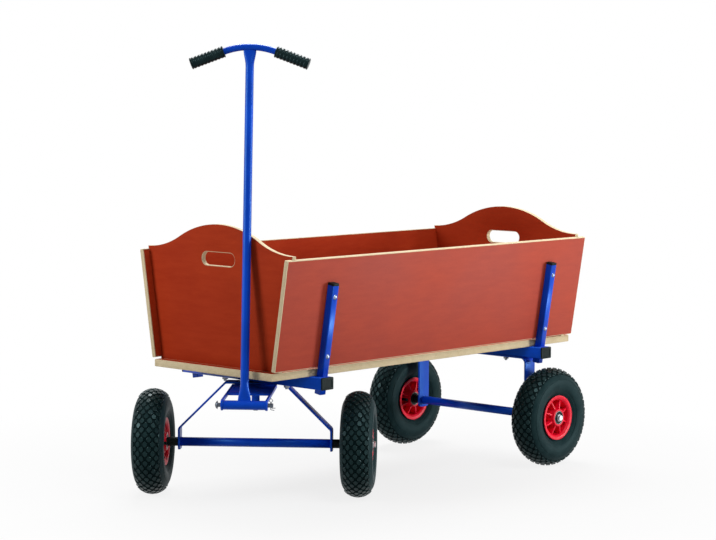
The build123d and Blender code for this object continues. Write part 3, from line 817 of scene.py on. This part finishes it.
def cut_plate(bm, thickness):
    """Fill an outline, draw it out along Y and ease its arrises."""
    bmesh.ops.contextual_create(bm, geom=bm.edges[:])
    draw_out(bm, (0, thickness, 0))
    arrises = [edge for edge in bm.edges if edge.calc_face_angle() > arris_angle]
    round_edges(bm, arrises, steel_arris, arris_steps)


def yoke_plate():
    """The plate, level under the hoop and sloping down in front of it."""
    bm = bmesh.new()
    back, tip = strap_w / 2, yoke_top - yoke_dip
    outline = [(-back, yoke_top), (back, yoke_top), (yoke_reach, tip), (yoke_reach, tip - yoke_t)]
    outline += [(back, yoke_top - yoke_t), (-back, yoke_top - yoke_t)]
    points = [bm.verts.new((x, 0, z)) for x, z in outline]
    chain(bm, points + points[:1])
    cut_plate(bm, yoke_gap)
    return bm


def yoke_arm():
    """An arm that widens from its neck to a round eye."""
    bm = bmesh.new()
    root = bm.verts.new((strap_w / 2, 0, yoke_top))
    top = bm.verts.new((pivot_reach, 0, pivot.z + eye_r))
    round_eye = 3 * quarter + math.asin(1 - yoke_neck / eye_r)
    heel = arc(bm, top, (pivot_reach, 0, pivot.z), round_eye, eye_steps)
    under = bm.verts.new((strap_w / 2, 0, yoke_top - yoke_neck))
    chain(bm, [root, top])
    chain(bm, [heel, under, root])
    cut_plate(bm, yoke_t)
    return bm


yoke_half = yoke_gap / 2
yoke = repeated(yoke_arm(), [Matrix.Translation((0, y, 0)) for y in (yoke_half, -yoke_half - yoke_t)])
plate = repeated(yoke_plate(), [Matrix.Translation((0, -yoke_half, 0))])
yoke.from_mesh(as_mesh(plate, "yoke_plate"))
fit(yoke, "drawbar_yoke_plates", [blue], "steering", "drawbar_yoke", forward)
dark_zinc = zinc_plate("dark_zinc", pin_dark, pin_light)
dress("hitch_pin", dark_zinc)
dress("split_pin", dark_zinc)


# Drawbar: a round steel tube pressed flat at both ends and welded between two cross tubes.
# The lower one swings on the hitch pin, the upper one is the arched handlebar.
drawbar_tilt = math.radians(8.0)
drawbar_l = 0.8456
pole_r = 0.010
flat_w = 0.031
flat_t = 0.008
flat_bite = flat_t / 4
flare = 0.040
flare_steps = 8
pivot_tube_r = 0.011
bar_r = 0.008
bar_flat = 0.002
bar_bend_r = 0.172
bar_droop = math.radians(20.7)
grip_l = 0.084
grip_end_t = 0.0025
at_pivot = Matrix.Translation(pivot) @ Matrix.Rotation(steer, 4, "Z")
drawbar = at_pivot @ Matrix.Rotation(-drawbar_tilt, 4, "X")
at_bar = drawbar @ Matrix.Translation((0, 0, drawbar_l))


def press_flat(bm, ring, sign):
    """Flare a tube's end out to its pressed flat."""
    wide, deep = pole_r, pole_r
    for step in range(1, flare_steps + 1):
        share = step / flare_steps
        ease = share * share * (3 - 2 * share)
        next_wide = pole_r + (flat_w / 2 - pole_r) * ease
        next_deep = pole_r + (flat_t / 2 - pole_r) * ease
        stretch = (next_wide / wide, next_deep / deep, 1)
        ring = draw_on(bm, ring, Vector((0, 0, sign * flare / flare_steps)), stretch)
        wide, deep = next_wide, next_deep


low_round = pivot_tube_r - flat_bite + flare
high_round = drawbar_l - bar_r + flat_bite - flare
at_foot = Matrix.Translation((0, 0, low_round))
bm = bmesh.new()
bmesh.ops.create_circle(bm, segments=tube_steps, radius=pole_r, matrix=at_foot)
foot_ring = bm.edges[:]
head_ring = draw_on(bm, foot_ring, Vector((0, 0, high_round - low_round)))
press_flat(bm, head_ring, 1)
press_flat(bm, foot_ring, -1)
close_ends(bm)
fit(bm, "drawbar_pole_tube", [blue], "drawbar", "drawbar_pole", drawbar)
dress("pivot_tube", blue)

bm = bmesh.new()
bmesh.ops.create_circle(bm, segments=tube_steps, radius=bar_r, matrix=along_x)
bend_bar(bm, bm.edges[:], [(bar_flat / 2, None), (bar_bend_r, bar_droop), (grip_l - grip_end_t, None)])
mirror_half(bm)
close_ends(bm)
fit(bm, "handlebar_tube", [blue], "drawbar", "handlebar", at_bar)


# Grips: ribbed sleeves of soft black rubber with closed ends, pushed on to the handlebar.
# A collar stands at each end, and fine skin marks dull the surface.
grip_r = 0.014
grip_base = 0.0127
grip_collar = 0.0035
collar_ease = 0.0006
grip_ribs = 9
grip_rib_share = 0.8
grip_rib_rise = 0.0012
grip_rib_steps = 6
grip_steps = 40
rubber_deep = (0.002, 0.007, 0.008, 1)
rubber_worn = (0.006, 0.014, 0.015, 1)
rubber_sheen = (0.55, 0.95, 1.0, 1)


def grip_rubber():
    """Soft rubber with a finely marked skin."""
    material, shader, place = new_material("grip_rubber")
    grain = noise(shader, place, scale=900.0, detail=3.0)
    clouds = noise(shader, place, scale=60.0, detail=2.0)
    finish = {
        "Base Color": ramp(shader, clouds, (0.3, rubber_deep), (0.7, rubber_worn)),
        "Roughness": 0.22 + 0.14 * clouds,
        "Normal": bumps(shader, grain, strength=0.3, depth=0.0003),
        "Specular IOR Level": 0.12,
        "Specular Tint": rubber_sheen,
    }
    return finished(material, shader, finish)


def spin_round(bm, steps):
    """Spin a profile in the XZ plane right round the X axis and close its poles."""
    turn = {"cent": (0, 0, 0), "axis": (1, 0, 0), "angle": math.tau}
    bmesh.ops.spin(bm, geom=everything(bm), steps=steps, use_merge=True, use_duplicate=False, **turn)
    bmesh.ops.remove_doubles(bm, verts=bm.verts, dist=weld)
    bmesh.ops.recalc_face_normals(bm, faces=bm.faces)


def grip():
    """A grip along X, with its open end at X = 0."""
    bm = bmesh.new()
    bore_end = grip_l - grip_end_t
    bore = [(bore_end, 0), (bore_end, bar_r), (0, bar_r)]
    collar = [(0, grip_base), (collar_ease, grip_r)]
    collar += [(grip_collar - collar_ease, grip_r), (grip_collar, grip_base)]
    points = [bm.verts.new((x, 0, r)) for x, r in bore + collar]
    chain(bm, points)
    pitch = (grip_l - 2 * grip_collar) / grip_ribs
    half = grip_rib_share * pitch / 2
    rib_r = (half**2 + grip_rib_rise**2) / (2 * grip_rib_rise)
    bow = 2 * math.asin(half / rib_r)
    last = points[-1]
    for index in range(grip_ribs):
        middle = grip_collar + (index + 0.5) * pitch
        foot = bm.verts.new((middle - half, 0, grip_base))
        chain(bm, [last, foot])
        last = arc(bm, foot, (middle, 0, grip_base + grip_rib_rise - rib_r), bow, grip_rib_steps)
    outer = [(grip_l - x, r) for x, r in collar[::-1]] + [(grip_l, 0)]
    chain(bm, [last] + [bm.verts.new((x, 0, r)) for x, r in outer])
    spin_round(bm, grip_steps)
    return bm


rubber = grip_rubber()
bend_run = tangent(bar_bend_r, bar_droop)
at_bend = Matrix.Translation((bar_flat / 2 + bend_run, 0, 0))
left_arm = at_bend @ Matrix.Rotation(bar_droop, 4, "Y") @ Matrix.Translation((bend_run, 0, 0))
for side, place in (("left", left_arm), ("right", mirror_x @ left_arm)):
    name = f"{side}_grip"
    fit(grip(), f"{name}_sleeve", [rubber], "drawbar", name, at_bar @ place)


# Axles: a zinc-plated rod through each axle tube, with black sleeves that keep the wheels off the legs.
# Spacers and inner rings are clamped on it by a flanged bolt in each end, its zinc lighter as a painted
# highlight.
# A lighter copy of the zinc for the axle bolts: a painted highlight on the bolt heads.
highlight_grey = (0.42, 0.46, 0.48, 1)
highlight_white = (0.62, 0.66, 0.68, 1)
bolt_highlight_zinc = zinc_plate("bolt_highlight_zinc", highlight_grey, highlight_white)
for end in ("front", "rear"):
    dress(f"{end}_axle_sleeves", black)
    dress(f"{end}_axle_rod", zinc)
    dress(f"{end}_bearing_spacers", zinc)
    dress(f"{end}_axle_bolts", bolt_highlight_zinc)


# Tyres: 3.00-4, moulded in black rubber with a diamond block tread that wraps over the shoulders.
# Blocks stand in staggered rows with open grooves between, and bands run round the sidewalls.
tyre_r = 0.130
tread_arc_r = 0.045
tread_half = 0.038
lug_rows = 34
lug_columns = 4
lug_height = 0.0028
lug_steps = [(0.0005, 0.8 * lug_height), (0.0007, 0.2 * lug_height)]
lug_corner = 0.0034
groove_half = 0.0013
belly = Vector((0.0400, 0, 0.0935))
bead = Vector((0.0302, 0, 0.0650))
bead_toe = [(0.0282, 0.0622), (0.0266, 0.0600), (0.0266, 0.0512), (0.0220, 0.0512), (0.0250, 0.0660)]
lining = [(0.0320, 0.0830), (0.0345, 0.0945), (0.0285, 0.1070), (0.0150, 0.1165), (0.0, 0.1190)]
wall_steps = 18
wall_bands = [(0.0690, 0.0745), (0.0990, 0.1040)]
band_rise = 0.0006
band_slope = 0.0004
ring_cuts = 3
tread_weld = 2e-5
block_face, groove_face, wall_face = range(3)
block_dark = (0.002, 0.009, 0.010, 1)
block_light = (0.008, 0.021, 0.022, 1)
# The grooves' colours are darker than the blocks': painted shade in the tread's recesses.
groove_shade_dark = (0.001, 0.005, 0.006, 1)
groove_shade_light = (0.004, 0.011, 0.012, 1)
wall_dark = (0.005, 0.016, 0.018, 1)
wall_light = (0.011, 0.026, 0.028, 1)
wheels = [f"{end}_{side}" for end in ("front", "rear") for side in ("left", "right")]


def tyre_rubber(name, dark, light, shine, dull):
    """Tyre rubber: block tops are polished by the road, grooves and sidewalls keep the mould's grain."""
    material, shader, place = new_material(name)
    clouds = noise(shader, place, scale=45.0, detail=4.0)
    skin = noise(shader, place, scale=1100.0, detail=2.0)
    finish = {
        "Base Color": ramp(shader, clouds, (0.3, dark), (0.72, light)),
        "Roughness": dull + 0.2 * clouds,
        "Normal": bumps(shader, skin, strength=0.35, depth=0.0003),
        "Specular IOR Level": shine,
        "Specular Tint": rubber_sheen,
    }
    return finished(material, shader, finish)


def tread_point(flat):
    """Wrap a point of the flat tread, x across and y round, over the crown of the tyre."""
    across = flat.x / tread_arc_r
    height = tread_arc_r - lug_height + flat.z
    radius = tyre_r - tread_arc_r + height * math.cos(across)
    turn = flat.y / tyre_r
    return Vector((height * math.sin(across), radius * math.sin(turn), radius * math.cos(turn)))


def tread_blocks():
    """One pitch of the tread, made flat, wrapped over the crown and repeated round the tyre."""
    bm = bmesh.new()
    pitch = math.tau * tyre_r / lug_rows
    step = tread_half / lug_columns
    for column in range(-lug_columns, lug_columns + 1):
        place = Matrix.Translation((column * step, column % 2 * pitch / 2, 0))
        diamond = place @ Matrix.Diagonal((step, pitch / 2, 1, 1))
        bmesh.ops.create_circle(bm, cap_ends=True, segments=4, radius=1, matrix=diamond)
    for side in (-1, 1):
        edge = {"plane_co": (side * tread_half, 0, 0), "plane_no": (side, 0, 0)}
        bmesh.ops.bisect_plane(bm, geom=everything(bm), dist=weld, clear_outer=True, **edge)
    bm.normal_update()
    bmesh.ops.reverse_faces(bm, faces=[face for face in bm.faces if face.normal.z < 0])
    blocks = bm.faces[:]
    grooves = bmesh.ops.inset_individual(bm, faces=blocks, thickness=groove_half, use_even_offset=True)
    for face in grooves["faces"]:
        face.material_index = groove_face
    points = list(dict.fromkeys(vert for face in blocks for vert in face.verts))
    for face in round_corners(bm, points, lug_corner, steps=1):
        face.material_index = groove_face
    blocks = [face for face in bm.faces if face.material_index == block_face]
    for thickness, depth in lug_steps:
        bmesh.ops.inset_individual(bm, faces=blocks, thickness=thickness, depth=depth, use_even_offset=True)
    border = [edge for edge in bm.edges if all(abs(vert.co.x) > tread_half - weld for vert in edge.verts)]
    bmesh.ops.bisect_edges(bm, edges=border, cuts=ring_cuts)
    for vert in bm.verts:
        vert.co = tread_point(vert.co)
    copies = lug_rows - 1
    turn = {"cent": (0, 0, 0), "axis": (1, 0, 0), "angle": math.tau * copies / lug_rows}
    bmesh.ops.spin(bm, geom=everything(bm), steps=copies, use_duplicate=True, **turn)
    return bm


def circle_centre(first, second, third):
    """Centre of the circle through three points of the XZ plane."""
    a, a_middle = second - first, (first + second) / 2
    b, b_middle = third - second, (second + third) / 2
    across = a.x * b.z - a.z * b.x
    reach = (b_middle - a_middle).dot(b) / across
    return a_middle + Vector((-a.z, 0, a.x)) * reach


def tyre_walls():
    """Both sidewalls, the beads and the lining, spun from one profile and mirrored."""
    bm = bmesh.new()
    edge = tread_point(Vector((tread_half, 0, 0)))
    middle = circle_centre(edge, belly, bead)
    sweep = (edge - middle).angle(belly - middle) + (belly - middle).angle(bead - middle)
    last = arc(bm, bm.verts.new(edge), middle, sweep, wall_steps)
    chain(bm, [last] + [bm.verts.new((x, 0, r)) for x, r in bead_toe + lining])
    spin_round(bm, lug_rows * (ring_cuts + 1))
    for low_r, high_r in wall_bands:
        outside = [face for face in bm.faces if face.calc_center_median().x > bead.x]
        band = [face for face in outside if low_r < face.calc_center_median().yz.length < high_r]
        bmesh.ops.inset_region(bm, faces=band, thickness=band_slope, depth=band_rise, use_even_offset=True)
    mirror_half(bm)
    for face in bm.faces:
        face.material_index = wall_face
    return bm


def wheel_place(wheel):
    """The hub's frame: X along the axle, out of the wagon."""
    axis = joints[f"{wheel}_roll"]["axis"]
    facing = math.atan2(axis[1], axis[0]) + (math.pi if wheel.endswith("right") else 0)
    return Matrix.Translation(joints[f"{wheel}_roll"]["pos_m"]) @ Matrix.Rotation(facing, 4, "Z")


def fit_to_wheels(bm, piece, name, finish):
    """Fit a copy of a wheel's piece to each hub."""
    pattern = as_mesh(bm, name)
    for wheel in wheels:
        hub = wheel_place(wheel)
        copy = bmesh.new()
        copy.from_mesh(pattern)
        fit(copy, f"{wheel}_{name}", finish, f"{wheel}_wheel", f"{wheel}_{piece}", hub)


walls = as_mesh(tyre_walls(), "tyre_walls")
bm = tread_blocks()
bm.from_mesh(walls)
bmesh.ops.remove_doubles(bm, verts=bm.verts, dist=tread_weld)
bmesh.ops.recalc_face_normals(bm, faces=bm.faces)
tyre_finish = [
    tyre_rubber("tread_blocks", block_dark, block_light, shine=0.16, dull=0.20),
    # The groove finish carries painted shade: its colours are darker than the block tops'.
    tyre_rubber("shaded_tread_grooves", groove_shade_dark, groove_shade_light, shine=0.05, dull=0.50),
    tyre_rubber("tyre_walls", wall_dark, wall_light, shine=0.06, dull=0.40),
]
fit_to_wheels(bm, "tyre", "block_tread_tyre", tyre_finish)
for wheel in wheels:
    dress(f"{wheel}_inner_tube", rubber)


# Rims: two halves of bright red moulded plastic, set face to face inside the tyre.
# The deep dish between flange and hub is stiffened by radial ribs.
rim_red = (0.74, 0.004, 0.032, 1)
rim_deep = (0.60, 0.003, 0.018, 1)
rim_steps = 96
flange_r = 0.059
flange_x = 0.0289
flange_lip = 0.0328
lip_slope = 0.0014
lip_step = 0.0006
seat_r = 0.0509
dish_r = 0.0460
barrel_slope = 0.0015
barrel_draft = 0.0010
web_half = 0.0065
hub_r = 0.0225
hub_half = 0.035
hub_draft = 0.0014
hub_bore = 0.0130
bearing_r = 0.0176
pocket_x = 0.024
rim_round = 0.0012
rib_count = 8
rib_turn = math.radians(24)
rib_t = 0.0042
rib_low = 0.0040
rib_step = 0.0045
rib_root = 0.0005
rib_round = 0.0008
mould_angle = math.radians(30)
mould_steps = 2


def rim_plastic():
    """Glossy red plastic, clouded by the flow in the mould."""
    material, shader, place = new_material("red_plastic")
    flow = noise(shader, place, scale=22.0, detail=3.0)
    grain = noise(shader, place, scale=700.0, detail=1.0)
    finish = {
        "Base Color": ramp(shader, flow, (0.3, rim_deep), (0.65, rim_red)),
        "Roughness": 0.34 + 0.14 * flow,
        "Normal": bumps(shader, grain, strength=0.08, depth=0.0002),
        "Specular IOR Level": 0.18,
    }
    return finished(material, shader, finish)


def round_arrises(bm, reach):
    """Round every edge of a moulded or ground piece."""
    sharp = [edge for edge in bm.edges if edge.is_manifold and edge.calc_face_angle() > mould_angle]
    round_edges(bm, sharp, reach, mould_steps)


def rim_shell():
    """Both halves' flange, barrel, web and hub, spun from one profile and mirrored."""
    bm = bmesh.new()
    outline = [(0, seat_r), (flange_x, seat_r), (flange_x, flange_r), (flange_lip, flange_r)]
    outline += [(flange_lip - lip_slope, seat_r + lip_step)]
    outline += [(flange_x - barrel_slope, dish_r + barrel_draft), (web_half, dish_r)]
    outline += [(web_half, hub_r + hub_draft), (hub_half, hub_r), (hub_half, bearing_r)]
    outline += [(pocket_x, bearing_r), (pocket_x, hub_bore), (0, hub_bore)]
    chain(bm, [bm.verts.new((x, 0, r)) for x, r in outline])
    spin_round(bm, rim_steps)
    mirror_half(bm)
    bmesh.ops.recalc_face_normals(bm, faces=bm.faces)
    round_arrises(bm, rim_round)
    return bm


def rim_rib():
    """One rib, standing up from the hub: deep at the hub, lower at the barrel."""
    bm = bmesh.new()
    bmesh.ops.create_cube(bm, size=1.0)
    for vert in bm.verts:
        at_barrel = vert.co.z > 0
        crest = flange_x - rib_low if at_barrel else hub_half - rib_step
        vert.co.x = crest if vert.co.x > 0 else web_half - rib_root
        vert.co.y *= rib_t
        vert.co.z = dish_r + barrel_draft if at_barrel else hub_r
    round_arrises(bm, rib_round)
    return bm


rib_angles = [rib_turn + math.tau * index / rib_count for index in range(rib_count)]
spokes = [Matrix.Rotation(angle, 4, "X") for angle in rib_angles]
ribs = repeated(rim_rib(), spokes + [mirror_x @ spoke for spoke in spokes])
bm = rim_shell()
bm.from_mesh(as_mesh(ribs, "rim_ribs"))
fit_to_wheels(bm, "rim", "ribbed_rim", [rim_plastic()])


# Bearings: sealed ball bearings pressed into the hubs, a ground ring round a black rubber seal.
# The inner rings are clamped on the axle rods and stay still.
bearing_fit = 0.0001
bearing_steps = 64
ring_inner_r = 0.0155
ring_round = 0.0002
seal_inner_r = 0.0108
seal_depth = 0.0005
ring_face, seal_face = range(2)
steel_dark = (0.05, 0.06, 0.06, 1)
steel_light = (0.11, 0.12, 0.12, 1)


def bearing_steel():
    """Ground bearing steel, darker than the plated bolts."""
    material, shader, place = new_material("bearing_steel")
    clouds = noise(shader, place, scale=160.0, detail=3.0)
    colour = ramp(shader, clouds, (0.3, steel_dark), (0.7, steel_light))
    finish = {"Base Color": colour, "Metallic": 1.0, "Roughness": 0.3 + 0.15 * clouds}
    return finished(material, shader, finish)


def bearing():
    """The outer ring and the seal of one bearing, in its pocket."""
    bm = bmesh.new()
    outer_r = bearing_r - bearing_fit
    seal_x = hub_half - seal_depth
    outline = [(hub_half, ring_inner_r), (seal_x, ring_inner_r), (seal_x, seal_inner_r)]
    outline += [(pocket_x, seal_inner_r), (pocket_x, outer_r), (hub_half, outer_r)]
    points = [bm.verts.new((x, 0, r)) for x, r in outline]
    chain(bm, points + points[:1])
    spin_round(bm, bearing_steps)
    for face in bm.faces:
        at_seal = face.calc_center_median().yz.length < ring_inner_r
        face.material_index = seal_face if at_seal else ring_face
    round_arrises(bm, ring_round)
    return bm


steel = bearing_steel()
pair = repeated(bearing(), [Matrix(), mirror_x])
fit_to_wheels(pair, "bearings", "sealed_bearings", [steel, black])
for end in ("front", "rear"):
    dress(f"{end}_bearing_inner_rings", steel)
